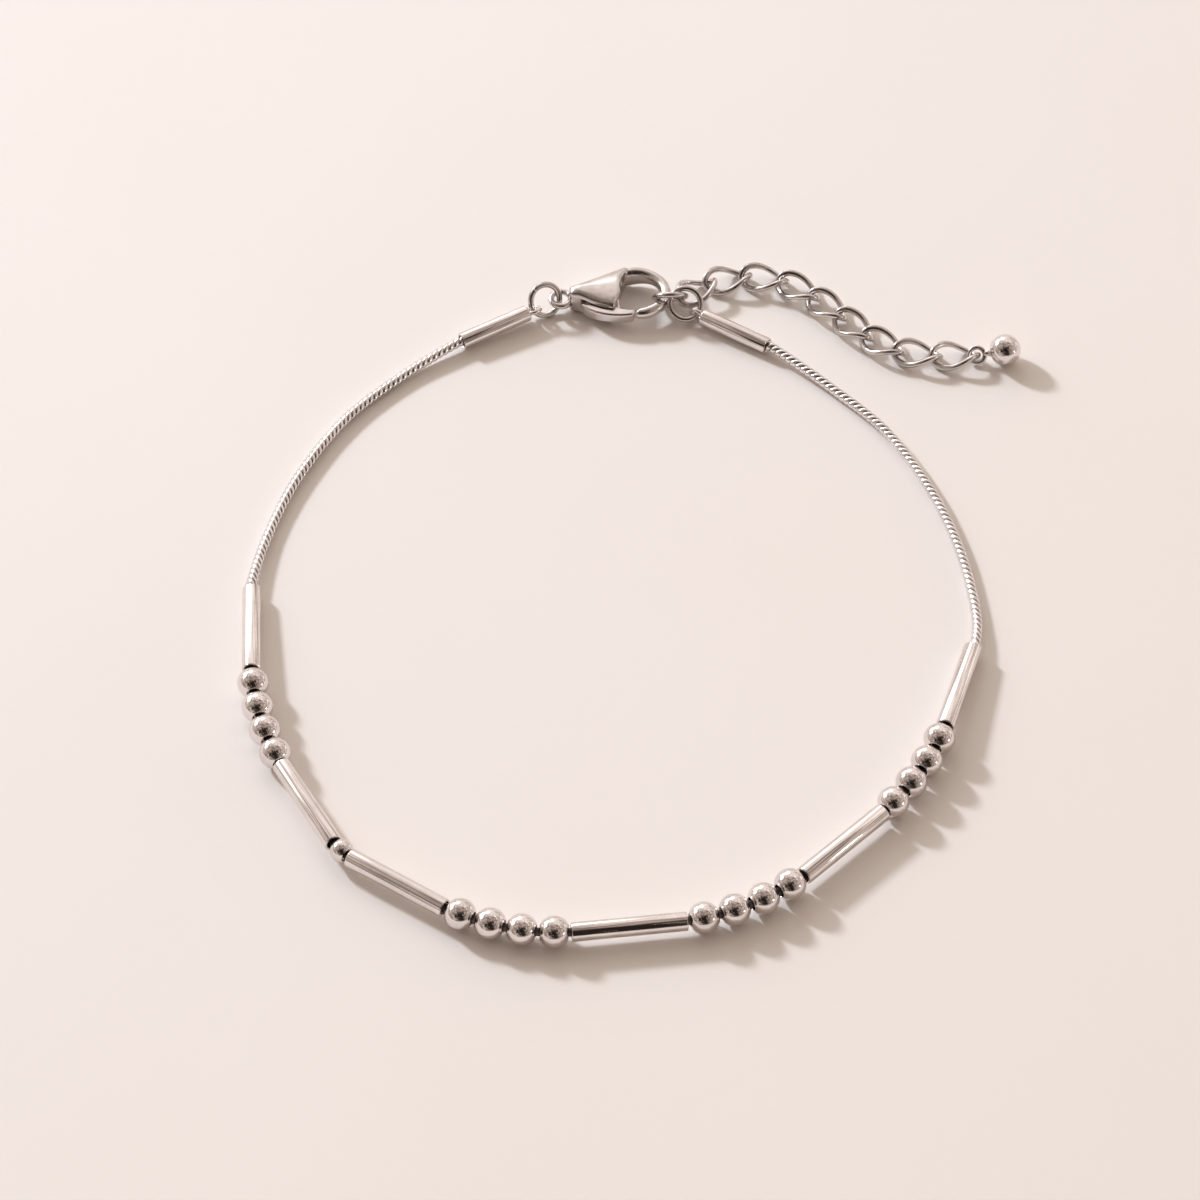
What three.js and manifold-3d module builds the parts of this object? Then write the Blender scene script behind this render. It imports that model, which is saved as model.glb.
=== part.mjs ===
// Bracelet of polished steel: a fine snake chain strung with round beads and bars,
// a lobster clasp, and an extender of curb links with a ball at its end.
// It lies on a surface with its clasp fastened. Millimetres, +Z up, the clasp at the back (+Y).

import * as THREE from 'three';
import { mergeVertices } from 'three/addons/utils/BufferGeometryUtils.js';
import { ParametricGeometry } from 'three/addons/geometries/ParametricGeometry.js';
import Module from 'manifold-3d';

const wasm = await Module();
wasm.setup();

// Beads and bars. A bead's pitch is the room that it takes on the string.
const BEAD = { diameter: 2.5, bore: 1.1, pitch: 2.46, arcSteps: 8 };
const SPACER = { diameter: 1.8, bore: 1.1, pitch: 1.73, arcSteps: 6 };
const BAR = { diameter: 1.5, bore: 1.1, length: 8.85, edge: 0.08, gap: 0.06 };
const ROUND_SIDES = 12;

// Snake chain. It leaves each tube straight, and then takes the free route in equal steps.
const CHAIN = { diameter: 0.85, sides: 8, step: 2.2, straight: 0.8, crimped: 2.6 };

// The string, in order from the left: bars with their headings, and the beads between them.
// A bar's rise is how much higher its second end is, because each outer bar slopes to the surface.
const STRING_START = new THREE.Vector3(-27.69, 0.49, 0.76);
const STRING = [
  { kind: 'bar', heading: -87.7, rise: 0.5 },
  { kind: 'bead', count: 4 },
  { kind: 'bar', heading: -60.9, rise: 0 },
  { kind: 'spacer', count: 1 },
  { kind: 'bar', heading: -33.7, rise: 0 },
  { kind: 'bead', count: 4 },
  { kind: 'bar', heading: 6.9, rise: 0 },
  { kind: 'bead', count: 4 },
  { kind: 'bar', heading: 44.9, rise: 0 },
  { kind: 'bead', count: 4 },
  { kind: 'bar', heading: 73.1, rise: -0.5 },
];

// Free stretches of the snake chain, from the end tube to the outer bar
const LEFT_ROUTE = [[-16.4, 23.8], [-20.8, 19.1], [-24.3, 13.0], [-26.5, 7.0]];
const RIGHT_ROUTE = [[18.9, 22.7], [23.3, 17.8], [26.7, 11.4], [28.8, 4.9], [29.8, -1.4]];
const ROUTE_HEIGHT = 0.46;

// End tubes: the eye's centre, the heading from the mouth to the eye, the rise over that run,
// and the roll of the eye's hole from upright
const END_TUBE = { diameter: 1.4, bore: 1.1, length: 6.25, depth: 3.4, edge: 0.12 };
const EYE = { radius: 0.6, wire: 0.35, reach: 0.53, around: 12, sides: 6 };
const END_TUBES = [
  { name: 'end_tube_left', eye: [-5.52, 30.95, 0.95], heading: 29.6, rise: 0.2, roll: 31 },
  { name: 'end_tube_right', eye: [8.03, 30.57, 0.86], heading: 148.7, rise: 0.1, roll: -77.1 },
];

// Jump rings: centre, and the direction that each ring faces
const RING = { radius: 1.3, wire: 0.5, around: 16, sides: 6 };
const RINGS = [
  { name: 'jump_ring_left', centre: [-4.56, 31.73, 1.39], faces: [0.4, -0.76, 0.51] },
  { name: 'jump_ring_hook', centre: [5.825, 32.079, 1.393], faces: [-0.042, 0.804, 0.593] },
  { name: 'jump_ring_right', centre: [7.083, 31.213, 1.46], faces: [0.092, -0.601, 0.794] },
];

// Extender: each link is an oval twisted by a quarter turn, so that the chain lies flat
const LINK = { pitch: 3.12, width: 2.4, wire: 0.52, overlap: 0.74, around: 14, sides: 6 };
const LINK_TWIST = -Math.PI / 4;
const EXTENDER_START = new THREE.Vector3(6.843, 32.21, 1.197);
const EXTENDER = [
  { heading: 42.5, rise: -0.417 },
  { heading: 14.7, rise: -0.02 },
  { heading: -10, rise: 0 },
  { heading: -36, rise: 0 },
  { heading: -46, rise: 0 },
  { heading: -47, rise: 0 },
  { heading: -34, rise: 0 },
  { heading: -10, rise: 0 },
  { heading: 2, rise: 0 },
];
const END_BALL = { diameter: 2.6, reach: 2.3, neck: 0.55, eyeRadius: 0.65, eyeWire: 0.4 };

// Clasp, in its own plan: u runs from the eye to the hook's end, v to the back, w up
const CLASP_EYE = new THREE.Vector3(-3.25, 32.1, 0);
const CLASP_HEADING = 4;
const CLASP = { thickness: 2.2, bevel: 0.3, eyeRadius: 0.84, eyeWire: 0.6 };
const HOOK = { u: 6.35, v: -0.02, ru: 2.36, rv: 2.24, halfWidth: 0.43, rootHalf: 0.9, tipHalf: 0.5 };
const HOOK_TIP_RISE = 0.15;
const HOOK_ARC = { from: 132, thinFrom: 110, thinTo: 22, to: -108, round: 0.12, around: 26, sides: 10 };
const OPENING = { u: 6.5, ru: 1.6, rv: 1.7 };
const PIVOT = new THREE.Vector2(3.35, -1.05);
const LEVER = { bottom: 0.6, thickness: 1.06, bevel: 0.12, reach: 2.95, boss: 0.55 };
const LEVER_TIP = { outer: -33, inner: -20 };
const RIVET = { diameter: 0.5, length: 2.1 };
const MOVING_GAP = 0.14;
const RIVET_GAP = 0.07;

// The origin is under the middle of the bracelet's box
const MIDDLE = new THREE.Vector3(3.13, 0.43, 0);

const STEEL = { color: 0xd2cdc8, metalness: 1.0, roughness: 0.12 };
const DARK_STEEL = { color: 0xb4aea8, metalness: 1.0, roughness: 0.2 };

const X = new THREE.Vector3(1, 0, 0);
const Y = new THREE.Vector3(0, 1, 0);
const Z = new THREE.Vector3(0, 0, 1);
const bracelet = new THREE.Group();

function addPiece(name, geometry, finish = STEEL, parent = bracelet) {
  const piece = new THREE.Mesh(geometry, new THREE.MeshStandardMaterial(finish));
  piece.name = name;
  parent.add(piece);
  return piece;
}

// One closed skin: shared corners merged, and the flat triangles at poles dropped
function closed(geometry) {
  const bare = geometry.index ? geometry.toNonIndexed() : geometry.clone();
  for (const attribute of ['normal', 'uv']) bare.deleteAttribute(attribute);
  const skin = mergeVertices(bare, 1e-4);
  const kept = [];
  for (let i = 0; i < skin.index.count; i += 3) {
    const [a, b, c] = [skin.index.getX(i), skin.index.getX(i + 1), skin.index.getX(i + 2)];
    if (a !== b && b !== c && c !== a) kept.push(a, b, c);
  }
  skin.setIndex(kept);
  skin.computeVertexNormals();
  return skin;
}

function solid(geometry) {
  const skin = closed(geometry);
  const vertProperties = new Float32Array(skin.attributes.position.array);
  const triVerts = new Uint32Array(skin.index.array);
  return new wasm.Manifold(new wasm.Mesh({ numProp: 3, vertProperties, triVerts }));
}

function geometryOf(body) {
  const mesh = body.getMesh();
  const geometry = new THREE.BufferGeometry();
  geometry.setAttribute('position', new THREE.BufferAttribute(mesh.vertProperties, 3));
  geometry.setIndex(new THREE.BufferAttribute(mesh.triVerts, 1));
  geometry.computeVertexNormals();
  return geometry;
}

// Direction with a heading in plan, which climbs by rise over a run of the given length
function direction(heading, rise = 0, length = 1) {
  const angle = THREE.MathUtils.degToRad(heading);
  const flat = Math.sqrt(length * length - rise * rise);
  return new THREE.Vector3(Math.cos(angle) * flat, Math.sin(angle) * flat, rise).divideScalar(length);
}

// Drilled ball: an arc of the outer sphere, closed along the bore
function beadGeometry({ diameter, bore, arcSteps }) {
  const radius = diameter / 2;
  const start = Math.asin(bore / diameter);
  const profile = [];
  for (let i = 0; i <= arcSteps; i += 1) {
    const angle = start + ((Math.PI - 2 * start) * i) / arcSteps;
    profile.push(new THREE.Vector2(radius * Math.sin(angle), -radius * Math.cos(angle)));
  }
  profile.push(profile[0].clone());
  return closed(new THREE.LatheGeometry(profile, ROUND_SIDES));
}

// Bar drilled through, with its outer edges eased
function barGeometry({ diameter, bore, length, edge }) {
  const [outer, inner, half] = [diameter / 2, bore / 2, length / 2];
  const profile = [
    [inner, -half], [outer - edge, -half], [outer, edge - half],
    [outer, half - edge], [outer - edge, half], [inner, half], [inner, -half],
  ];
  return closed(new THREE.LatheGeometry(profile.map((p) => new THREE.Vector2(...p)), ROUND_SIDES));
}

// Places every bead and bar along the string, and returns the joints between them.
// The beads between two bars turn evenly from the first bar's heading to the second's.
function threadString() {
  const joints = [STRING_START.clone()];
  const counts = { bar: 0, bead: 0 };
  const shapes = {
    bar: () => barGeometry(BAR),
    bead: () => beadGeometry(BEAD),
    spacer: () => beadGeometry(SPACER),
  };
  const room = { bar: BAR.length + 2 * BAR.gap, bead: BEAD.pitch, spacer: SPACER.pitch };
  const put = (kind, name, along) => {
    const start = joints[joints.length - 1];
    const piece = addPiece(name, shapes[kind]());
    piece.position.copy(start).addScaledVector(along, room[kind] / 2);
    piece.quaternion.setFromUnitVectors(Y, along);
    joints.push(start.clone().addScaledVector(along, room[kind]));
  };
  STRING.forEach((row, index) => {
    if (row.kind === 'bar') {
      counts.bar += 1;
      put('bar', `bead_tube_${counts.bar}`, direction(row.heading, row.rise, room.bar));
      return;
    }
    const before = STRING[index - 1].heading;
    const after = STRING[index + 1].heading;
    for (let i = 1; i <= row.count; i += 1) {
      const heading = before + ((after - before) * i) / (row.count + 1);
      if (row.kind === 'bead') counts.bead += 1;
      const name = row.kind === 'bead' ? `bead_${counts.bead}` : 'spacer_bead';
      put(row.kind, name, direction(heading));
    }
  });
  return joints;
}

// Crimp tube, blind bored for the chain, with an eye fused to its far end. Y runs from mouth to eye.
function endTubeGeometry() {
  const [outer, inner] = [END_TUBE.diameter / 2, END_TUBE.bore / 2];
  const profile = [
    [0, END_TUBE.depth], [inner, END_TUBE.depth], [inner, 0], [outer, 0],
    [outer, END_TUBE.length - END_TUBE.edge], [outer - END_TUBE.edge, END_TUBE.length], [0, END_TUBE.length],
  ];
  const tube = new THREE.LatheGeometry(profile.map((p) => new THREE.Vector2(...p)), ROUND_SIDES);
  const eye = new THREE.TorusGeometry(EYE.radius, EYE.wire / 2, EYE.sides, EYE.around);
  eye.translate(0, END_TUBE.length + EYE.reach, 0);
  return geometryOf(solid(tube).add(solid(eye)));
}

// Places both end tubes, and returns each one's mouth and the direction from mouth to eye
function placeEndTubes() {
  const run = END_TUBE.length + EYE.reach;
  return END_TUBES.map(({ name, eye, heading, rise, roll }) => {
    const along = direction(heading, rise, run);
    const mouth = new THREE.Vector3(...eye).addScaledVector(along, -run);
    const hole = Z.clone().applyAxisAngle(along, -THREE.MathUtils.degToRad(roll));
    const side = new THREE.Vector3().crossVectors(along, hole).normalize();
    const tube = addPiece(name, endTubeGeometry());
    const turn = new THREE.Matrix4().makeBasis(side, along, side.clone().cross(along));
    tube.quaternion.setFromRotationMatrix(turn);
    tube.position.copy(mouth);
    return { mouth, along };
  });
}

// Curve through given points, one point to each step of an extrusion
class PointRoute extends THREE.Curve {
  constructor(points) {
    super();
    this.points = points;
  }

  getPointAt(t, target = new THREE.Vector3()) {
    return target.copy(this.points[Math.round(t * (this.points.length - 1))]);
  }

  getTangentAt(t, target = new THREE.Vector3()) {
    const last = this.points.length - 1;
    const i = Math.round(t * last);
    return target.copy(this.points[Math.min(i + 1, last)]).sub(this.points[Math.max(i - 1, 0)]).normalize();
  }
}

// Chain between an end tube and an outer bar: crimped end, straight exit, free route, straight entry
function freeStretch({ mouth, along }, route, barEnd, barAlong) {
  const exit = mouth.clone().addScaledVector(along, -CHAIN.straight);
  const entry = barEnd.clone().addScaledVector(barAlong, -CHAIN.straight);
  const between = route.map(([x, y]) => new THREE.Vector3(x, y, ROUTE_HEIGHT));
  const curve = new THREE.CatmullRomCurve3([exit, ...between, entry], false, 'centripetal');
  const free = curve.getSpacedPoints(Math.round(curve.getLength() / CHAIN.step));
  return [mouth.clone().addScaledVector(along, CHAIN.crimped), ...free];
}

function addSnakeChain(joints, [left, right]) {
  const last = joints.length - 1;
  const into = joints[1].clone().sub(joints[0]).normalize();
  const outOf = joints[last - 1].clone().sub(joints[last]).normalize();
  const leftFree = freeStretch(left, LEFT_ROUTE, joints[0], into);
  const rightFree = freeStretch(right, RIGHT_ROUTE, joints[last], outOf);
  const points = [...leftFree, ...joints, ...rightFree.reverse()];
  const section = new THREE.Shape();
  for (let i = 0; i < CHAIN.sides; i += 1) {
    const angle = (i / CHAIN.sides) * Math.PI * 2;
    const corner = [Math.cos(angle) * (CHAIN.diameter / 2), Math.sin(angle) * (CHAIN.diameter / 2)];
    if (i === 0) section.moveTo(...corner);
    else section.lineTo(...corner);
  }
  const path = new PointRoute(points);
  const tube = new THREE.ExtrudeGeometry(section, { steps: points.length - 1, extrudePath: path });
  addPiece('snake_chain', closed(tube), DARK_STEEL);
}

function addJumpRings() {
  for (const { name, centre, faces } of RINGS) {
    const torus = new THREE.TorusGeometry(RING.radius, RING.wire / 2, RING.sides, RING.around);
    const ring = addPiece(name, closed(torus));
    ring.position.set(...centre);
    ring.quaternion.setFromUnitVectors(Z, new THREE.Vector3(...faces).normalize());
  }
}

// Twisted oval of round wire along X. Turning by the distance along X twists the oval.
function linkGeometry() {
  const [half, side, wire] = [(LINK.pitch + LINK.overlap) / 2, LINK.width / 2, LINK.wire / 2];
  const surface = (a, b, target) => {
    const t = a * Math.PI * 2;
    const s = b * Math.PI * 2;
    const outward = new THREE.Vector2(Math.cos(t) * side, Math.sin(t) * half).normalize();
    const reach = Math.cos(s) * wire;
    target.set(half * Math.cos(t), side * Math.sin(t), Math.sin(s) * wire);
    target.x += outward.x * reach;
    target.y += outward.y * reach;
    target.applyAxisAngle(X, (LINK_TWIST * target.x) / half);
  };
  return closed(new ParametricGeometry(surface, LINK.around, LINK.sides));
}

// Turn that takes X along a direction, with Z kept as near to upright as it can be
function uprightTurn(along) {
  const side = new THREE.Vector3().crossVectors(Z, along).normalize();
  return new THREE.Matrix4().makeBasis(along, side, new THREE.Vector3().crossVectors(along, side));
}

function addExtender() {
  const joint = EXTENDER_START.clone();
  let along = X;
  EXTENDER.forEach(({ heading, rise }, index) => {
    along = direction(heading, rise, LINK.pitch);
    const link = addPiece(`extender_link_${index + 1}`, linkGeometry());
    link.position.copy(joint).addScaledVector(along, LINK.pitch / 2);
    link.quaternion.setFromRotationMatrix(uprightTurn(along));
    joint.addScaledVector(along, LINK.pitch);
  });
  addEndBall(joint, along);
}

// Ball with a neck and an eye. The eye hangs in the last link as one more link would.
function addEndBall(joint, along) {
  const eyeCentre = joint.clone().addScaledVector(along, END_BALL.eyeRadius - LINK.overlap / 2);
  const drop = END_BALL.diameter / 2 - eyeCentre.z;
  const toBall = along.clone().multiplyScalar(END_BALL.reach).add(new THREE.Vector3(0, 0, drop));
  const reach = toBall.length();
  const eye = new THREE.TorusGeometry(END_BALL.eyeRadius, END_BALL.eyeWire / 2, EYE.sides, EYE.around);
  eye.rotateX(-LINK_TWIST);
  const neckRadius = END_BALL.neck / 2;
  const neck = new THREE.CylinderGeometry(neckRadius, neckRadius, reach - END_BALL.eyeRadius, 8);
  neck.rotateZ(Math.PI / 2).translate((reach + END_BALL.eyeRadius) / 2, 0, 0);
  const ball = new THREE.SphereGeometry(END_BALL.diameter / 2, 16, 10).translate(reach, 0, 0);
  const piece = addPiece('end_ball', geometryOf(solid(ball).add(solid(neck)).add(solid(eye))));
  piece.position.copy(eyeCentre);
  piece.quaternion.setFromRotationMatrix(uprightTurn(toBall.normalize()));
}

// Hook: an oval bar that bends round the opening. It thins from the shell's height to the tip's,
// rises a little so that a ring can pass under it, and both its ends are rounded off.
function hookGeometry() {
  const shellHalf = CLASP.thickness / 2;
  const surface = (a, b, target) => {
    const angle = HOOK_ARC.from + (HOOK_ARC.to - HOOK_ARC.from) * a;
    const thin = THREE.MathUtils.smoothstep(-angle, -HOOK_ARC.thinFrom, -HOOK_ARC.thinTo);
    const turn = THREE.MathUtils.degToRad(angle);
    const nearEnd = Math.min(1, Math.min(a, 1 - a) / HOOK_ARC.round);
    const swell = Math.sqrt(1 - (1 - nearEnd) ** 4);
    const outward = new THREE.Vector2(Math.cos(turn) * HOOK.rv, Math.sin(turn) * HOOK.ru).normalize();
    const round = -b * Math.PI * 2;
    const across = Math.cos(round) * HOOK.halfWidth * swell;
    const half = THREE.MathUtils.lerp(HOOK.rootHalf, HOOK.tipHalf, thin);
    const up = shellHalf + HOOK_TIP_RISE * thin + Math.sin(round) * half * swell;
    target.set(HOOK.u + HOOK.ru * Math.cos(turn) + outward.x * across,
      HOOK.v + HOOK.rv * Math.sin(turn) + outward.y * across, up);
  };
  return new ParametricGeometry(surface, HOOK_ARC.around, HOOK_ARC.sides);
}

// Shell of the clasp in plan, from the neck to the hook's root, with the lever's side cut short
function shellShape() {
  const shape = new THREE.Shape();
  shape.moveTo(0.7, -0.5);
  shape.bezierCurveTo(2.0, -0.75, 3.0, -2.05, 4.3, -2.05);
  shape.lineTo(5.2, 0);
  shape.lineTo(5.2, 1.2);
  shape.lineTo(5.75, 2.25);
  shape.lineTo(5.45, 2.68);
  shape.bezierCurveTo(4.0, 2.4, 2.2, 0.9, 0.7, 0.5);
  shape.closePath();
  return shape;
}

// Point in plan at a distance and a bearing from the rivet
function fromRivet(distance, degrees) {
  const angle = THREE.MathUtils.degToRad(degrees);
  return [PIVOT.x + distance * Math.cos(angle), PIVOT.y + distance * Math.sin(angle)];
}

// Continues an outline along an arc about the rivet, from the arc's first point
function arcAboutRivet(shape, radius, from, to, steps) {
  for (let i = 1; i <= steps; i += 1) shape.lineTo(...fromRivet(radius, from + ((to - from) * i) / steps));
}

// Lever in plan: thumb tab, boss round the rivet, and a bar whose end is an arc about the rivet
function leverShape() {
  const shape = new THREE.Shape();
  shape.moveTo(1.6, -1.15);
  shape.bezierCurveTo(1.9, -1.9, 2.9, -2.4, 4.0, -2.62);
  shape.quadraticCurveTo(5.0, -2.78, ...fromRivet(LEVER.reach, LEVER_TIP.outer));
  arcAboutRivet(shape, LEVER.reach, LEVER_TIP.outer, LEVER_TIP.inner, 3);
  shape.quadraticCurveTo(4.7, -2.1, ...fromRivet(LEVER.boss, 0));
  arcAboutRivet(shape, LEVER.boss, 0, 180, 7);
  shape.quadraticCurveTo(2.3, -1.2, 1.6, -1.15);
  return shape;
}

// Slot between the shell's two cheeks, wide enough for the lever at every angle
function leverSlot() {
  const shape = new THREE.Shape();
  shape.moveTo(1.3, -3);
  shape.lineTo(1.3, -0.85);
  shape.lineTo(2.6, -0.6);
  shape.lineTo(3.0, -0.32);
  shape.lineTo(3.7, -0.32);
  shape.lineTo(5.6, 0.75);
  shape.lineTo(5.6, -3);
  shape.closePath();
  const depth = LEVER.thickness + 2 * MOVING_GAP;
  const slot = new THREE.ExtrudeGeometry(shape, { depth, bevelEnabled: false });
  return slot.translate(0, 0, LEVER.bottom - MOVING_GAP);
}

// Block that squares off the hook's tip, just clear of the lever's end
function tipCut() {
  const [length, bearing] = [2, (LEVER_TIP.outer + LEVER_TIP.inner) / 2];
  const block = new THREE.BoxGeometry(length, 1.6, CLASP.thickness * 2);
  block.rotateZ(THREE.MathUtils.degToRad(bearing));
  const [u, v] = fromRivet(LEVER.reach + MOVING_GAP - length / 2, bearing);
  return block.translate(u, v, CLASP.thickness / 2);
}

function rivetCylinder(diameter, length) {
  const rivet = new THREE.CylinderGeometry(diameter / 2, diameter / 2, length, ROUND_SIDES);
  return rivet.rotateX(Math.PI / 2).translate(PIVOT.x, PIVOT.y, CLASP.thickness / 2);
}

function rivetBore() {
  return solid(rivetCylinder(RIVET.diameter + 2 * RIVET_GAP, CLASP.thickness * 2));
}

function claspBodyGeometry() {
  const shell = new THREE.ExtrudeGeometry(shellShape(), {
    depth: CLASP.thickness - 2 * CLASP.bevel, curveSegments: 6,
    bevelThickness: CLASP.bevel, bevelSize: CLASP.bevel, bevelOffset: -CLASP.bevel, bevelSegments: 2,
  });
  shell.translate(0, 0, CLASP.bevel);
  const opening = new THREE.CylinderGeometry(1, 1, CLASP.thickness * 2, 24);
  opening.rotateX(Math.PI / 2).scale(OPENING.ru, OPENING.rv, 1);
  opening.translate(OPENING.u, HOOK.v, CLASP.thickness / 2);
  const eye = new THREE.TorusGeometry(CLASP.eyeRadius, CLASP.eyeWire / 2, EYE.sides + 2, EYE.around + 2);
  eye.translate(0, 0, CLASP.thickness / 2);
  const cheeks = solid(shell).subtract(solid(opening)).subtract(solid(leverSlot())).subtract(rivetBore());
  const hook = solid(hookGeometry()).subtract(solid(tipCut()));
  return geometryOf(cheeks.add(hook).add(solid(eye)));
}

function leverGeometry() {
  const lever = new THREE.ExtrudeGeometry(leverShape(), {
    depth: LEVER.thickness - 2 * LEVER.bevel, curveSegments: 5,
    bevelThickness: LEVER.bevel, bevelSize: LEVER.bevel, bevelOffset: -LEVER.bevel, bevelSegments: 1,
  });
  lever.translate(0, 0, LEVER.bottom + LEVER.bevel);
  return geometryOf(solid(lever).subtract(rivetBore()));
}

function addClasp() {
  const clasp = new THREE.Group();
  clasp.position.copy(CLASP_EYE);
  clasp.rotation.z = THREE.MathUtils.degToRad(CLASP_HEADING);
  addPiece('clasp_body', claspBodyGeometry(), STEEL, clasp);
  addPiece('clasp_lever', leverGeometry(), STEEL, clasp);
  addPiece('clasp_rivet', closed(rivetCylinder(RIVET.diameter, RIVET.length)), DARK_STEEL, clasp);
  bracelet.add(clasp);
}

const joints = threadString();
addSnakeChain(joints, placeEndTubes());
addJumpRings();
addExtender();
addClasp();
bracelet.position.copy(MIDDLE).negate();

export default bracelet;
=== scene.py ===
"""Polished steel bracelet: round beads and bars on a fine snake chain, a lobster clasp and an extender."""

import math

import bmesh
import bpy
from mathutils import Matrix, Vector
from mathutils.geometry import interpolate_bezier


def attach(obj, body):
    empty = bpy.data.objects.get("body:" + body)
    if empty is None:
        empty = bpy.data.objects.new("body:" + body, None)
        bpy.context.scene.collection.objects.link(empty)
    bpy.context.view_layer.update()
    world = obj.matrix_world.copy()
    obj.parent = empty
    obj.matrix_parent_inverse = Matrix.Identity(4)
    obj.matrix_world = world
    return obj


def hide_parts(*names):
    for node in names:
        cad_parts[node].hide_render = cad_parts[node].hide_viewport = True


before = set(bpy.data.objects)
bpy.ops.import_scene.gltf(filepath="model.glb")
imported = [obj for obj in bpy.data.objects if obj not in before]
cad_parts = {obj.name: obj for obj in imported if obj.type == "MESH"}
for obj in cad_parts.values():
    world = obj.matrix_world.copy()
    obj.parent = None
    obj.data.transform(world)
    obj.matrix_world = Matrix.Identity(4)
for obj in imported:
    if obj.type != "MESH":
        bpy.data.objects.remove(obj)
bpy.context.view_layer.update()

# Lengths are in millimetres until a piece is finished, and a finished piece is in metres
MM = 0.001
BODY = "bracelet"
LEVER_BODY = "lever"

# Sizes of the beads, bars, rings and end tubes
BEAD_RADIUS, SPACER_RADIUS, BORE = 1.25, 0.9, 1.1
BAR_RADIUS, BAR_LENGTH = 0.75, 8.85
RING_RADIUS, RING_WIRE, RING_SEAM = 1.3, 0.5, 0.035
TUBE_RADIUS, TUBE_LENGTH = 0.7, 6.25
EYE_RADIUS, EYE_WIRE = 0.6, 0.35

# Layout of the string, as the solids have it: bars with heading and rise, beads between them
MIDDLE = Vector((3.13, 0.43, 0))
STRING_START = Vector((-27.69, 0.49, 0.76))
STRING = [
    ("bar", -87.7, 0.5), ("bead", 4), ("bar", -60.9, 0), ("spacer", 1), ("bar", -33.7, 0), ("bead", 4),
    ("bar", 6.9, 0), ("bead", 4), ("bar", 44.9, 0), ("bead", 4), ("bar", 73.1, -0.5),
]
ROOM = {"bar": 8.97, "bead": 2.46, "spacer": 1.73}
LEFT_ROUTE = [(-16.4, 23.8), (-20.8, 19.1), (-24.3, 13.0), (-26.5, 7.0)]
RIGHT_ROUTE = [(18.9, 22.7), (23.3, 17.8), (26.7, 11.4), (28.8, 4.9), (29.8, -1.4)]
ROUTE_HEIGHT = 0.46
CHAIN_STRAIGHT, CHAIN_INSIDE = 0.8, 1.2

# Snake chain: its dark core, which is painted shade seen between the ribs, and its ribs with the heading of
# their flat sides
CORE_RADIUS, CORE_STEP = 0.33, 1.0
RIB_PITCH, RIB_SLANT, RIB_FLAT, RIB_FULLNESS = 0.54, 0.85, 128, 0.96
RIB_PROFILE = [(0.29, -0.3), (0.385, -0.2), (0.42, 0), (0.385, 0.2), (0.29, 0.3)]

# End tubes: eye's centre, heading from mouth to eye, rise, roll of the eye's hole
END_RUN = 6.78
END_TUBES = {
    "end_tube_left": ((-5.52, 30.95, 0.95), 29.6, 0.2, 31),
    "end_tube_right": ((8.03, 30.57, 0.86), 148.7, 0.1, -77.1),
}

# Jump rings: centre, the direction that each ring faces, and where its seam is
RINGS = {
    "jump_ring_left": ((-4.56, 31.73, 1.39), (0.4, -0.76, 0.51), 150),
    "jump_ring_hook": ((5.825, 32.079, 1.393), (-0.042, 0.804, 0.593), 60),
    "jump_ring_right": ((7.083, 31.213, 1.46), (0.092, -0.601, 0.794), 200),
}

# Extender: heading and rise of each link
LINK_PITCH, LINK_WIDTH, LINK_WIRE, LINK_OVERLAP = 3.12, 2.4, 0.52, 0.74
LINK_TWIST = math.radians(-45)
EXTENDER_START = Vector((6.843, 32.21, 1.197))
EXTENDER = [
    (42.5, -0.417), (14.7, -0.02), (-10, 0), (-36, 0), (-46, 0), (-47, 0), (-34, 0), (-10, 0), (2, 0),
]
BALL_RADIUS, BALL_REACH, BALL_EYE, BALL_EYE_WIRE = 1.3, 2.3, 0.65, 0.4

# Clasp: its eye and its heading. The rest is in its own plan, with u from the eye to the hook.
CLASP_EYE = Vector((-3.25, 32.1, 0))
CLASP_HEADING = 4
RIVET_AT = (3.35, -1.05)
SHELL_VOXEL, LEVER_VOXEL = 0.06, 0.05

# The shell's two long sides start at one u and spread with it. Its flat top becomes a dome.
SIDES_FROM, SIDES_APART, BACK_SPREAD, FRONT_SPREAD, LEAST_WIDTH = 0.7, 0.55, 0.457, 0.43, 0.6
SHELL_TOP, SHELL_RIDGE = 2.2, 2.42
FRONT_EDGE, BACK_EDGE, DOME_POWER = 1.86, 1.6, 2.2
FRONT_BASE, BASE_DROP, BASE_BLEND = 1.75, 0.65, 0.4
DOME_START, DOME_END = (0.4, 1.6), (5.0, 6.6)

# The hook is made fuller beyond this distance from the rivet and beyond this u
HOOK_FULLNESS, HOOK_FROM_RIVET, HOOK_FROM_U = 0.08, (3.0, 4.2), (5.2, 6.0)

# Camera, about the point of the surface that is at the photograph's middle
CAMERA_ELEVATION = 49.2
CAMERA_DISTANCE = 0.45
CAMERA_LENS = 169.65


def direction(heading, rise=0.0, length=1.0):
    """Unit direction with a heading in plan that climbs by rise over the length."""
    flat = math.sqrt(length * length - rise * rise)
    angle = math.radians(heading)
    return Vector((math.cos(angle) * flat, math.sin(angle) * flat, rise)) / length


def along_turn(along):
    """Turn that takes Z along a direction."""
    return Vector((0, 0, 1)).rotation_difference(along).to_matrix().to_4x4()


def upright_turn(along):
    """Turn that takes X along a direction, with Z kept as near to upright as it can be."""
    side = Vector((0, 0, 1)).cross(along).normalized()
    up = along.cross(side)
    return Matrix((along, side, up)).transposed().to_4x4()


# Meshes


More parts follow.
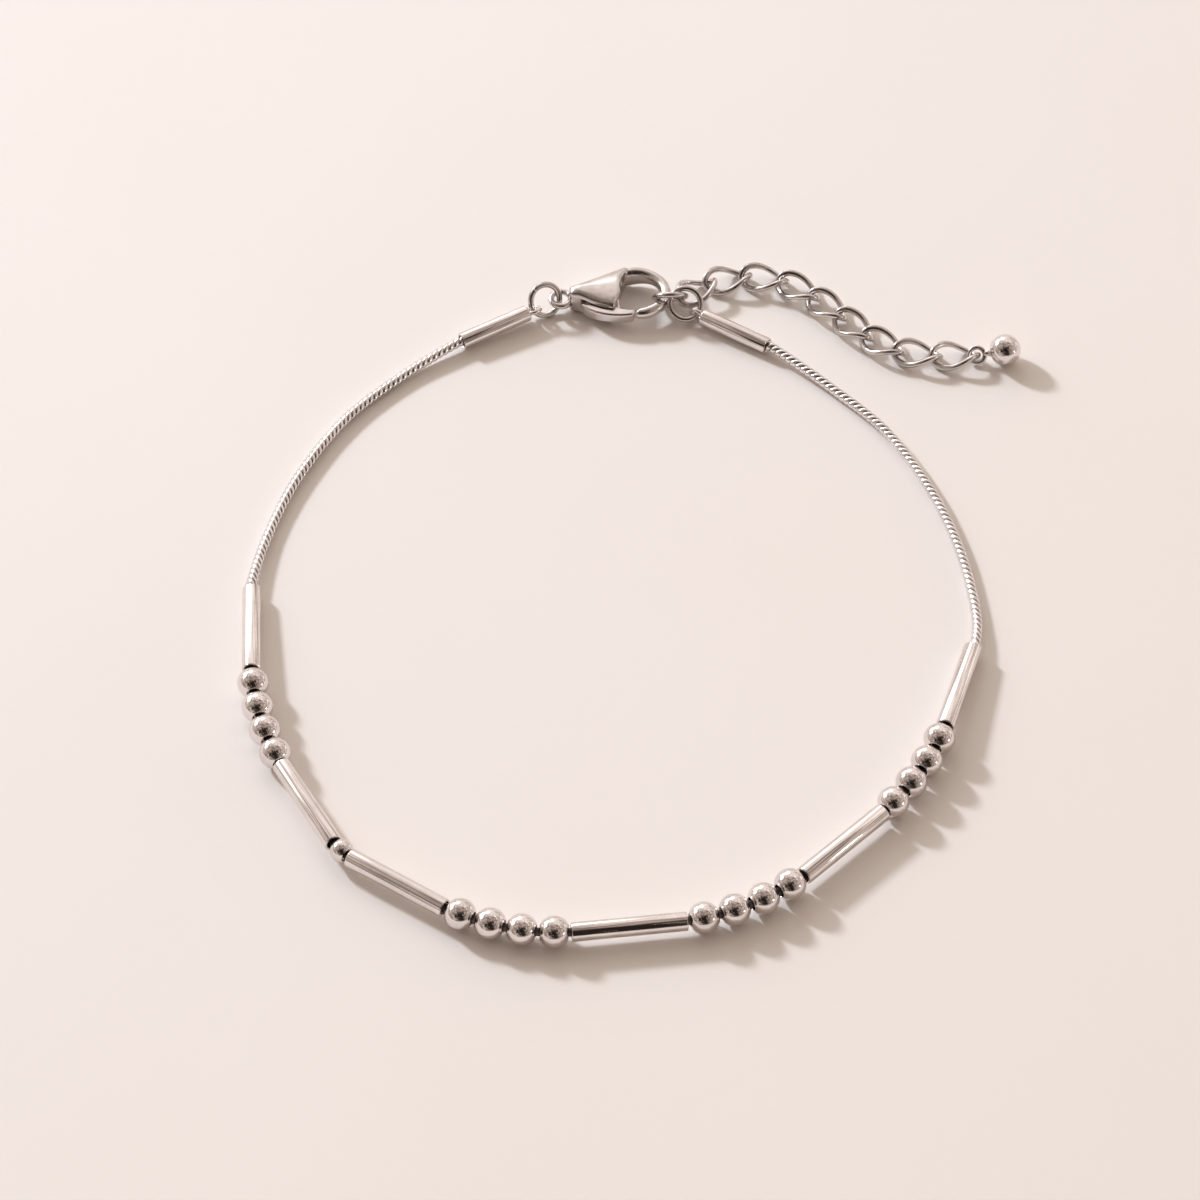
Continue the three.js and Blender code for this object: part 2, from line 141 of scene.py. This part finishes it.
def lathe(profile, steps=48, closed=True, angle=2 * math.pi):
    """Spins a profile of (radius, height) points about Z."""
    bm = bmesh.new()
    verts = [bm.verts.new((radius, 0, height)) for radius, height in profile]
    edges = [bm.edges.new(pair) for pair in zip(verts, verts[1:])]
    if closed:
        edges.append(bm.edges.new((verts[-1], verts[0])))
    whole = angle >= 2 * math.pi
    bmesh.ops.spin(bm, geom=verts + edges, cent=(0, 0, 0), axis=(0, 0, 1), dvec=(0, 0, 0),
                   angle=angle, steps=steps, use_merge=whole)
    bmesh.ops.remove_doubles(bm, verts=bm.verts, dist=1e-5)
    if not whole:
        bmesh.ops.holes_fill(bm, edges=[e for e in bm.edges if e.is_boundary], sides=0)
    bmesh.ops.recalc_face_normals(bm, faces=bm.faces)
    return bm


def ring(radius, wire, steps=48, sides=16, angle=2 * math.pi):
    """Ring of round wire about Z."""
    profile = []
    for i in range(sides):
        turn = 2 * math.pi * i / sides
        profile.append((radius + wire / 2 * math.cos(turn), wire / 2 * math.sin(turn)))
    return lathe(profile, steps, angle=angle)


def arc(centre, radius, start, end, steps):
    """Points of an arc in a profile, angles in degrees from the radius axis."""
    points = []
    for i in range(steps + 1):
        turn = math.radians(start + (end - start) * i / steps)
        points.append((centre[0] + radius * math.cos(turn), centre[1] + radius * math.sin(turn)))
    return points


def copies(bm, places):
    """One mesh with a copy of a shape at each place."""
    pattern = bpy.data.meshes.new("pattern")
    bm.to_mesh(pattern)
    bm.free()
    whole = bmesh.new()
    for place in places:
        before = len(whole.verts)
        whole.from_mesh(pattern)
        whole.verts.ensure_lookup_table()
        bmesh.ops.transform(whole, matrix=place, verts=whole.verts[before:])
    bpy.data.meshes.remove(pattern)
    return whole


def join(*parts):
    """One mesh from several."""
    whole = bmesh.new()
    for part in parts:
        mesh = bpy.data.meshes.new("part")
        part.to_mesh(mesh)
        part.free()
        whole.from_mesh(mesh)
        bpy.data.meshes.remove(mesh)
    return whole


def finish_piece(bm, name, material, nodes=(), body=BODY, sharp=38, scale=MM, shift=-MIDDLE):
    """Makes a shape an object in metres, in the solids' frame, riding on its body."""
    bmesh.ops.transform(bm, matrix=Matrix.Scale(scale, 4) @ Matrix.Translation(shift), verts=bm.verts)
    mesh = bpy.data.meshes.new(name)
    bm.to_mesh(mesh)
    bm.free()
    mesh.shade_smooth()
    mesh.set_sharp_from_angle(angle=math.radians(sharp))
    mesh.materials.append(material)
    piece = bpy.data.objects.new(name, mesh)
    bpy.context.scene.collection.objects.link(piece)
    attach(piece, body)
    if nodes:
        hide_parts(*nodes)
    return piece


# Finishes


class Value:
    """A shader value that takes part in Python arithmetic."""

    def __init__(self, shader, socket):
        self.shader = shader
        self.socket = socket

    def math(self, operation, first, second):
        return self.shader.node("ShaderNodeMath", {"operation": operation}, {0: first, 1: second})

    def __add__(self, other):
        return self.math("ADD", self, other)

    def __sub__(self, other):
        return self.math("SUBTRACT", self, other)

    def __rsub__(self, other):
        return self.math("SUBTRACT", other, self)

    def __mul__(self, other):
        return self.math("MULTIPLY", self, other)

    __radd__ = __add__
    __rmul__ = __mul__


class Shader:
    """The node tree of one finish or of the studio's surroundings."""

    def __init__(self, owner):
        owner.use_nodes = True
        self.owner = owner
        self.tree = owner.node_tree
        self.tree.nodes.clear()

    def node(self, kind, settings=None, inputs=None, output=0):
        """Adds a node: its settings first, then the values or links of its sockets."""
        made = self.tree.nodes.new(kind)
        for key, setting in (settings or {}).items():
            if key == "stops":
                made.color_ramp.elements[0].position, made.color_ramp.elements[0].color = setting[0]
                made.color_ramp.elements[1].position, made.color_ramp.elements[1].color = setting[-1]
                for position, colour in setting[1:-1]:
                    made.color_ramp.elements.new(position).color = colour
            else:
                setattr(made, key, setting)
        for key, value in (inputs or {}).items():
            if isinstance(value, Value):
                self.tree.links.new(value.socket, made.inputs[key])
            else:
                made.inputs[key].default_value = value
        return Value(self, made.outputs[output]) if made.outputs else None

    def noise(self, place, scale, detail=3.0, roughness=0.55):
        inputs = {"Vector": place, "Scale": scale, "Detail": detail, "Roughness": roughness}
        return self.node("ShaderNodeTexNoise", None, inputs)

    def steps(self, value, low, high):
        """0 below low, 1 above high, and smooth between them."""
        settings = {"interpolation_type": "SMOOTHSTEP"}
        return self.node("ShaderNodeMapRange", settings, {"Value": value, "From Min": low, "From Max": high})

    def blend(self, factor, first, second):
        settings = {"data_type": "RGBA"}
        return self.node("ShaderNodeMix", settings, {0: factor, 6: first, 7: second}, 2)


# Colour of the metal where it is seen at a low angle, and the depth of its hairlines in metres
EDGE_TINT = (0.95, 0.92, 0.9, 1)
HAIRLINE_DEPTH = 0.000004


def steel(name, light, shade, gloss, gloss_spread, scratch=0.25, grain=1.0):
    """Polished steel: a cloudy tint, uneven gloss, fine hairlines and a faint dulling film."""
    shader = Shader(bpy.data.materials.new(name))
    place = shader.node("ShaderNodeTexCoord", output=3)
    cloud = shader.noise(place, 420 * grain, 4.0)
    film = shader.steps(shader.noise(place, 1500 * grain, 5.0, 0.65), 0.5, 0.74)
    stretched = shader.node("ShaderNodeMapping", None, {
        "Vector": place, "Rotation": (0.5, 0.3, 0.7), "Scale": (1, 14, 3)})
    hairline = shader.noise(stretched, 2600 * grain, 2.0)
    tint = shader.blend(shader.steps(cloud, 0.35, 0.65), (*shade, 1), (*light, 1))
    tint = shader.blend(film * 0.16, tint, (*[c * 0.72 for c in shade], 1))
    roughness = cloud * gloss_spread + film * 0.05 + (gloss - gloss_spread * 0.5)
    bump = shader.node("ShaderNodeBump", None, {
        "Strength": scratch, "Distance": HAIRLINE_DEPTH, "Height": hairline})
    surface = shader.node("ShaderNodeBsdfPrincipled", None, {
        "Base Color": tint, "Metallic": 1.0, "Roughness": roughness,
        "Specular Tint": EDGE_TINT, "Normal": bump})
    shader.node("ShaderNodeOutputMaterial", None, {"Surface": surface})
    return shader.owner


bead_steel = steel("bead_steel", (0.84, 0.79, 0.78), (0.74, 0.695, 0.685), 0.05, 0.04)
bar_steel = steel("bar_steel", (0.86, 0.81, 0.8), (0.77, 0.725, 0.715), 0.05, 0.03, 0.35)
wire_steel = steel("wire_steel", (0.68, 0.64, 0.63), (0.55, 0.515, 0.505), 0.13, 0.08)
cast_steel = steel("cast_steel", (0.74, 0.695, 0.685), (0.63, 0.59, 0.58), 0.2, 0.08, 0.3)
chain_steel = steel("chain_steel", (0.92, 0.885, 0.885), (0.82, 0.785, 0.785), 0.16, 0.06, 0.2, 1.6)
# Dark tint for the snake chain's core: painted shade, standing for the shade seen in the gaps between the
# ribs
painted_shade_steel = steel("painted_shade_steel", (0.16, 0.14, 0.13), (0.07, 0.06, 0.055), 0.42, 0.1)


# Beads, bars and snake chain


def thread_string():
    """Centre and direction of each bead and bar, by kind, and the joints between them."""
    joints = [STRING_START.copy()]
    places = {"bar": [], "bead": [], "spacer": []}

    def put(kind, along):
        places[kind].append((joints[-1] + along * ROOM[kind] / 2, along))
        joints.append(joints[-1] + along * ROOM[kind])

    for index, row in enumerate(STRING):
        if row[0] == "bar":
            put("bar", direction(row[1], row[2], ROOM["bar"]))
            continue
        before, after = STRING[index - 1][1], STRING[index + 1][1]
        for i in range(row[1]):
            put(row[0], direction(before + (after - before) * (i + 1) / (row[1] + 1)))
    return places, joints


def bead_shape(radius, bore, rim=0.07):
    """Drilled ball with a softened rim at each end of its hole."""
    hole = bore / 2
    start = math.degrees(math.acos((hole + rim) / radius))
    outside = arc((0, 0), radius, -start, start, 26)
    top = outside[-1][1]
    lip = arc((hole + rim, top - rim), rim, 90, 180, 4)
    return lathe(outside + lip + [(r, -h) for r, h in reversed(lip)])


def bar_shape(radius, bore, length, edge=0.09):
    """Drilled bar with rounded outer edges and a softened bore."""
    half, hole, soft = length / 2, bore / 2, 0.04
    corner = arc((radius - edge, half - edge), edge, 0, 90, 5)
    lip = arc((hole + soft, half - soft), soft, 90, 180, 3)
    upper = corner + lip
    return lathe(upper + [(r, -h) for r, h in reversed(upper)], 56)


def facing_place(centre, along):
    """Place at a centre, with Z along a direction."""
    return Matrix.Translation(centre) @ along_turn(along)


places, joints = thread_string()
bead_nodes = [f"bead_{i + 1}" for i in range(16)]
bar_nodes = [f"bead_tube_{i + 1}" for i in range(6)]
beads = copies(bead_shape(BEAD_RADIUS, BORE), [facing_place(*spot) for spot in places["bead"]])
finish_piece(beads, "round_beads", bead_steel, bead_nodes)
bars = copies(bar_shape(BAR_RADIUS, BORE, BAR_LENGTH), [facing_place(*spot) for spot in places["bar"]])
finish_piece(bars, "bars", bar_steel, bar_nodes)
spacer = copies(bead_shape(SPACER_RADIUS, BORE, 0.05), [facing_place(*spot) for spot in places["spacer"]])
finish_piece(spacer, "small_bead", bead_steel, ["spacer_bead"])


def smooth_route(points, step):
    """Even points, a step apart, on a smooth curve through the given ones."""
    fine = []
    last = len(points) - 1
    for i in range(last):
        first, second = points[i], points[i + 1]
        before = points[i - 1] if i else 2 * first - second
        after = points[i + 2] if i + 2 <= last else 2 * second - first
        first_handle = first + (second - before) / 6
        second_handle = second - (after - first) / 6
        fine += interpolate_bezier(first, first_handle, second_handle, second, 60)[:-1]
    fine.append(points[-1])
    even, need = [fine[0].copy()], step
    for here, there in zip(fine, fine[1:]):
        gap = (there - here).length
        while gap > 0 and need <= gap:
            here = here.lerp(there, need / gap)
            even.append(here.copy())
            gap = (there - here).length
            need = step
        need -= gap
    return even


def end_tube_run(name):
    """Mouth of an end tube and the direction from its mouth to its eye."""
    eye, heading, rise, _ = END_TUBES[name]
    along = direction(heading, rise, END_RUN)
    return Vector(eye) - along * END_RUN, along


def free_points(name, route, bar_end, bar_along):
    """Points that a free stretch of chain passes, from inside an end tube to inside a bar."""
    mouth, along = end_tube_run(name)
    between = [Vector((x, y, ROUTE_HEIGHT)) for x, y in route]
    exit_point = mouth - along * CHAIN_STRAIGHT
    entry = bar_end - bar_along * CHAIN_STRAIGHT
    tube_end, string_end = mouth + along * CHAIN_INSIDE, bar_end + bar_along * CHAIN_INSIDE
    return [tube_end, exit_point, *between, entry, string_end]


def rib_shape():
    """One rib of the snake chain: a bulging collar, a little squared, and slanted along the chain."""
    rib = lathe(RIB_PROFILE, 16, closed=False)
    for vert in rib.verts:
        turn = math.atan2(vert.co.y, vert.co.x) - math.radians(RIB_FLAT)
        square = (abs(math.cos(turn)) ** 3 + abs(math.sin(turn)) ** 3) ** (-1 / 3)
        vert.co.xy *= RIB_FULLNESS * square
        vert.co.z += RIB_SLANT * vert.co.x
    return rib


def rib_places(points):
    """Places of the ribs along a stretch. Each rib's slant lies to the outer side."""
    route = smooth_route(points, RIB_PITCH)
    spots = []
    for i in range(1, len(route) - 1):
        along = (route[i + 1] - route[i - 1]).normalized()
        side = Vector((0, 0, 1)).cross(along).normalized()
        turn = Matrix((side, along.cross(side), along)).transposed().to_4x4()
        spots.append(Matrix.Translation(route[i]) @ turn)
    return spots


into_left = (joints[1] - joints[0]).normalized()
into_right = (joints[-2] - joints[-1]).normalized()
left_points = free_points("end_tube_left", LEFT_ROUTE, joints[0], into_left)
right_points = free_points("end_tube_right", RIGHT_ROUTE, joints[-1], into_right)
ribs = copies(rib_shape(), rib_places(left_points) + rib_places(right_points))
finish_piece(ribs, "snake_chain_ribs", chain_steel, ["snake_chain"], sharp=70)


def core_tube(points, radius, name):
    """Round tube through points, as a mesh."""
    curve = bpy.data.curves.new(name, "CURVE")
    curve.dimensions = "3D"
    curve.bevel_depth = radius
    curve.bevel_resolution = 2
    curve.use_fill_caps = True
    line = curve.splines.new("POLY")
    line.points.add(len(points) - 1)
    for point, spot in zip(line.points, points):
        point.co = (*spot, 1)
    holder = bpy.data.objects.new(name, curve)
    bpy.context.scene.collection.objects.link(holder)
    mesh = bpy.data.meshes.new_from_object(holder.evaluated_get(bpy.context.evaluated_depsgraph_get()))
    bpy.data.objects.remove(holder)
    bpy.data.curves.remove(curve)
    bm = bmesh.new()
    bm.from_mesh(mesh)
    bpy.data.meshes.remove(mesh)
    return bm


# The core is a dark tube inside the ribs: painted shade, where the gaps between the ribs would be in shade
left_core = smooth_route(left_points, CORE_STEP)[:-2]
right_core = smooth_route(right_points, CORE_STEP)[-3::-1]
core = core_tube(left_core + joints + right_core, CORE_RADIUS, "core")
finish_piece(core, "snake_chain_shade_core", painted_shade_steel)


# End tubes, rings and extender


def end_tube_shape():
    """Crimp tube with a blind bore and an eye on its far end. Z runs from mouth to eye."""
    edge, soft = 0.14, 0.05
    bore = [(0, 1.6), (0.5, 1.5), (0.55, 0.05), (0.58, 0)]
    near = arc((TUBE_RADIUS - soft, soft), soft, -90, 0, 3)
    far = arc((TUBE_RADIUS - edge, TUBE_LENGTH - edge), edge, 0, 90, 5)
    tube = lathe(bore + near + far + [(0, TUBE_LENGTH)], 48, closed=False)
    eye = ring(EYE_RADIUS, EYE_WIRE, 40, 14)
    bmesh.ops.rotate(eye, cent=(0, 0, 0), matrix=Matrix.Rotation(math.pi / 2, 3, "X"), verts=eye.verts)
    bmesh.ops.translate(eye, vec=(0, 0, END_RUN), verts=eye.verts)
    return join(tube, eye)


for tube_name, (_, _, _, roll) in END_TUBES.items():
    mouth, along = end_tube_run(tube_name)
    hole = Matrix.Rotation(-math.radians(roll), 3, along) @ Vector((0, 0, 1))
    across = along.cross(hole).normalized()
    turn = Matrix((across, across.cross(along) * -1, along)).transposed().to_4x4()
    tube = copies(end_tube_shape(), [Matrix.Translation(mouth) @ turn])
    bmesh.ops.recalc_face_normals(tube, faces=tube.faces)
    finish_piece(tube, tube_name + "_piece", bar_steel, [tube_name])

for ring_name, (centre, faces, seam) in RINGS.items():
    wire = ring(RING_RADIUS, RING_WIRE, 72, 18, 2 * math.pi - RING_SEAM)
    seam_turn = Matrix.Rotation(math.radians(seam), 3, "Z")
    bmesh.ops.rotate(wire, cent=(0, 0, 0), matrix=seam_turn, verts=wire.verts)
    spot = facing_place(Vector(centre), Vector(faces).normalized())
    finish_piece(copies(wire, [spot]), ring_name + "_piece", wire_steel, [ring_name])


def link_shape():
    """Oval of round wire along X, twisted by a quarter turn from end to end."""
    half, side = (LINK_PITCH + LINK_OVERLAP) / 2, LINK_WIDTH / 2
    link = ring(1, LINK_WIRE, 56, 14)
    for vert in link.verts:
        turn = math.atan2(vert.co.y, vert.co.x)
        reach = math.hypot(vert.co.x, vert.co.y) - 1
        outward = Vector((math.cos(turn) * side, math.sin(turn) * half)).normalized()
        vert.co.x = half * math.cos(turn) + outward.x * reach
        vert.co.y = side * math.sin(turn) + outward.y * reach
        vert.co = Matrix.Rotation(LINK_TWIST * vert.co.x / half, 3, "X") @ vert.co
    return link


joint = EXTENDER_START.copy()
link_places = []
for heading, rise in EXTENDER:
    along = direction(heading, rise, LINK_PITCH)
    link_places.append(Matrix.Translation(joint + along * LINK_PITCH / 2) @ upright_turn(along))
    joint += along * LINK_PITCH
links = copies(link_shape(), link_places)
link_nodes = [f"extender_link_{i + 1}" for i in range(len(EXTENDER))]
finish_piece(links, "extender_links", wire_steel, link_nodes)


def ball_shape(reach):
    """Ball with a neck and an eye on X, the eye at the origin."""
    ball = bmesh.new()
    bmesh.ops.create_uvsphere(ball, u_segments=48, v_segments=28, radius=BALL_RADIUS)
    bmesh.ops.translate(ball, vec=(reach, 0, 0), verts=ball.verts)
    start, end = BALL_EYE, reach - BALL_RADIUS
    neck_profile = [(0.2, start - 0.1), (0.27, start + 0.1), (0.25, end - 0.1), (0.42, end + 0.12)]
    neck = lathe(neck_profile, 24, closed=False)
    bmesh.ops.rotate(neck, cent=(0, 0, 0), matrix=Matrix.Rotation(math.pi / 2, 3, "Y"), verts=neck.verts)
    eye = ring(BALL_EYE, BALL_EYE_WIRE, 40, 14)
    bmesh.ops.rotate(eye, cent=(0, 0, 0), matrix=Matrix.Rotation(-LINK_TWIST, 3, "X"), verts=eye.verts)
    return join(ball, neck, eye)


eye_centre = joint + along * (BALL_EYE - LINK_OVERLAP / 2)
to_ball = along * BALL_REACH + Vector((0, 0, BALL_RADIUS - eye_centre.z))
spot = Matrix.Translation(eye_centre) @ upright_turn(to_ball.normalized())
ball = copies(ball_shape(to_ball.length), [spot])
finish_piece(ball, "end_ball_piece", bead_steel, ["end_ball"])


# Clasp


CLASP_PLACE = (Matrix.Translation(CLASP_EYE - MIDDLE)
               @ Matrix.Rotation(math.radians(CLASP_HEADING), 4, "Z"))


def melt(bm, passes):
    """Evens out a mesh, so that its edges melt round."""
    for _ in range(passes):
        bmesh.ops.smooth_vert(bm, verts=bm.verts, factor=0.5,
                              use_axis_x=True, use_axis_y=True, use_axis_z=True)
    return bm


def cast_copy(node, voxel, passes, plug=None):
    """Smooth casting from a solid of the frame: its faces remeshed finely and its edges melted round."""
    bm = bmesh.new()
    bm.from_mesh(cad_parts[node].data)
    bmesh.ops.remove_doubles(bm, verts=bm.verts, dist=1e-7)
    bmesh.ops.scale(bm, vec=(1 / MM, 1 / MM, 1 / MM), verts=bm.verts)
    if plug:
        bm = join(bm, plug)
    mesh = bpy.data.meshes.new(node + "_rough")
    bm.to_mesh(mesh)
    bm.free()
    holder = bpy.data.objects.new(node + "_rough", mesh)
    bpy.context.scene.collection.objects.link(holder)
    remesh = holder.modifiers.new("fine", "REMESH")
    remesh.mode = "VOXEL"
    remesh.voxel_size = voxel
    fine = bpy.data.meshes.new_from_object(holder.evaluated_get(bpy.context.evaluated_depsgraph_get()))
    bpy.data.objects.remove(holder)
    bpy.data.meshes.remove(mesh)
    bm = bmesh.new()
    bm.from_mesh(fine)
    bpy.data.meshes.remove(fine)
    return melt(bm, passes)


def rivet_head():
    """Head of the rivet, worked flush into the shell's top."""
    head = bmesh.new()
    bmesh.ops.create_cone(head, cap_ends=True, segments=24, radius1=0.4, radius2=0.4, depth=0.38)
    bmesh.ops.transform(head, matrix=CLASP_PLACE @ Matrix.Translation((*RIVET_AT, 2.0)), verts=head.verts)
    return head


def smooth_between(value, low, high):
    """0 below low, 1 above high, and smooth between them."""
    part = min(1, max(0, (value - low) / (high - low)))
    return part * part * (3 - 2 * part)


def dome(bm):
    """Raises the shell's flat top along its middle and rounds it down to its two long sides."""
    to_plan = CLASP_PLACE.inverted()
    for vert in bm.verts:
        u, v, height = to_plan @ vert.co
        back = SIDES_APART + BACK_SPREAD * (u - SIDES_FROM)
        front = -SIDES_APART - FRONT_SPREAD * (u - SIDES_FROM)
        across = min(1, max(-1, (2 * v - back - front) / max(LEAST_WIDTH, back - front)))
        base = FRONT_BASE - BASE_DROP * smooth_between(across, -BASE_BLEND, BASE_BLEND)
        edge = FRONT_EDGE if across < 0 else BACK_EDGE
        top = edge + (SHELL_RIDGE - edge) * math.sqrt(max(0, 1 - abs(across) ** DOME_POWER))
        share = smooth_between(u, *DOME_START) * (1 - smooth_between(u, *DOME_END))
        top = SHELL_TOP + (top - SHELL_TOP) * share
        if height > base:
            vert.co.z = base + (height - base) * (top - base) / (SHELL_TOP - base)
    return bm


def full_hook(bm):
    """Gives the hook back the wire thickness that its smoothing took."""
    to_plan = CLASP_PLACE.inverted()
    bm.normal_update()
    for vert in bm.verts:
        u, v, _ = to_plan @ vert.co
        from_rivet = math.hypot(u - RIVET_AT[0], v - RIVET_AT[1])
        share = smooth_between(from_rivet, *HOOK_FROM_RIVET) * smooth_between(u, *HOOK_FROM_U)
        vert.co += vert.normal * HOOK_FULLNESS * share
    return bm


shell = full_hook(melt(dome(cast_copy("clasp_body", SHELL_VOXEL, 8, rivet_head())), 6))
finish_piece(shell, "clasp_shell", cast_steel, ["clasp_body"], sharp=180, shift=Vector())
lever = cast_copy("clasp_lever", LEVER_VOXEL, 6)
finish_piece(lever, "clasp_thumb_lever", cast_steel, ["clasp_lever"],
             LEVER_BODY, sharp=180, shift=Vector())

rivet_profile = [(0, 0.05), (0.2, 0.05), (0.25, 0.1), (0.25, 1.95), (0.2, 2.0), (0, 2.0)]
rivet_place = CLASP_PLACE @ Matrix.Translation((*RIVET_AT, 0))
rivet = copies(lathe(rivet_profile, 28, closed=False), [rivet_place])
finish_piece(rivet, "clasp_rivet_piece", wire_steel, ["clasp_rivet"], shift=Vector())


# Floor, light and camera


def floor_finish():
    """Plain pale floor with a faint warm cloudiness."""
    shader = Shader(bpy.data.materials.new("pale_floor"))
    place_on_floor = shader.node("ShaderNodeTexCoord", output=3)
    cloud = shader.noise(place_on_floor, 22, 3.0)
    tint = shader.blend(cloud, (0.92, 0.855, 0.795, 1), (0.955, 0.895, 0.84, 1))
    surface = shader.node("ShaderNodeBsdfPrincipled", None, {
        "Base Color": tint, "Roughness": 0.9, "Specular IOR Level": 0.1})
    shader.node("ShaderNodeOutputMaterial", None, {"Surface": surface})
    return shader.owner


floor_shape = bmesh.new()
bmesh.ops.create_grid(floor_shape, x_segments=2, y_segments=2, size=1.6)
floor_mesh = bpy.data.meshes.new("floor")
floor_shape.to_mesh(floor_mesh)
floor_shape.free()
floor_mesh.materials.append(floor_finish())
floor = bpy.data.objects.new("floor", floor_mesh)
bpy.context.scene.collection.objects.link(floor)


def heading_to(heading, elevation):
    """Direction towards a heading and an elevation, in degrees."""
    flat = math.cos(math.radians(elevation))
    return direction(heading) * flat + Vector((0, 0, math.sin(math.radians(elevation))))


def surroundings():
    """Warm room in soft bands, with a bright window, a light wall behind and a dark patch in front."""
    world = bpy.data.worlds.new("studio")
    bpy.context.scene.world = world
    shader = Shader(world)
    facing = shader.node("ShaderNodeTexCoord", output=0)
    split = shader.node("ShaderNodeSeparateXYZ", None, {0: facing})
    back = Value(shader, split.socket.node.outputs[1])

    ragged = shader.noise(facing, 2.6, 2.0) - 0.5

    def nearness(middle, outer, inner, rough=0.0):
        """1 within an inner angle of a direction, 0 beyond an outer one, with a ragged edge if rough."""
        toward = shader.node("ShaderNodeVectorMath", {"operation": "DOT_PRODUCT"}, {0: facing, 1: middle}, 1)
        low, high = math.cos(math.radians(outer)), math.cos(math.radians(inner))
        return shader.steps(toward + ragged * rough, low, high)

    bands = shader.node("ShaderNodeMapping", None, {"Vector": facing, "Scale": (1.2, 1.2, 5.0)})
    level = back * 0.08 + shader.noise(bands, 3.4, 3.0)
    stops = [(0.36, (0.13, 0.1, 0.08, 1)), (0.46, (0.45, 0.37, 0.315, 1)),
             (0.55, (0.74, 0.635, 0.56, 1)), (0.68, (1.5, 1.35, 1.24, 1))]
    tone = shader.node("ShaderNodeValToRGB", {"stops": stops}, {0: level})
    tone = shader.blend(nearness(heading_to(90, 45), 42, 16, 0.3) * 0.5, tone, (1.1, 1.0, 0.94, 1))
    tone = shader.blend(nearness(heading_to(-90, 66), 60, 24, 0.5) * 0.6, tone, (0.24, 0.18, 0.15, 1))
    for heading, elevation, spread in ((106, 34, 14), (131, 22, 15), (154, 28, 13)):
        pane = nearness(heading_to(heading, elevation), spread, spread - 4)
        tone = shader.blend(pane, tone, (2.6, 2.56, 2.6, 1))
    tone = shader.blend(nearness(heading_to(-90, 38), 42, 20, 0.5) * 0.97, tone, (0.014, 0.009, 0.007, 1))
    glints = shader.steps(shader.noise(facing, 7.0, 1.0), 0.6, 0.66) * nearness(heading_to(-90, 45), 55, 30)
    tone = shader.blend(glints * 0.5, tone, (0.7, 0.58, 0.5, 1))
    light = shader.node("ShaderNodeBackground", None, {"Color": tone, "Strength": 1.0})
    shader.node("ShaderNodeOutputWorld", None, {"Surface": light})


def soft_light(name, heading, elevation, distance, size, power, colour):
    """Square soft light that faces the bracelet."""
    lamp = bpy.data.lights.new(name, "AREA")
    lamp.size = size
    lamp.energy = power
    lamp.color = colour
    holder = bpy.data.objects.new(name, lamp)
    bpy.context.scene.collection.objects.link(holder)
    toward = heading_to(heading, elevation)
    holder.location = toward * distance
    holder.rotation_euler = toward.to_track_quat("Z", "Y").to_euler()


surroundings()
soft_light("window", 138, 28, 0.9, 0.09, 6.7, (0.82, 0.89, 1.0))
soft_light("lamp", -19, 8, 0.8, 0.06, 0.22, (1.0, 0.92, 0.84))

camera = bpy.data.cameras.new("camera")
camera.lens = CAMERA_LENS
camera.sensor_width = 36
camera.clip_start = 0.01
viewer = bpy.data.objects.new("camera", camera)
bpy.context.scene.collection.objects.link(viewer)
slope = math.radians(CAMERA_ELEVATION)
target = Vector((-MIDDLE.x * MM, -MIDDLE.y * MM, 0))
viewer.location = target + CAMERA_DISTANCE * Vector((0, -math.cos(slope), math.sin(slope)))
viewer.rotation_euler = (math.pi / 2 - slope, 0, 0)
bpy.context.scene.camera = viewer
bpy.context.scene.view_settings.view_transform = "Standard"
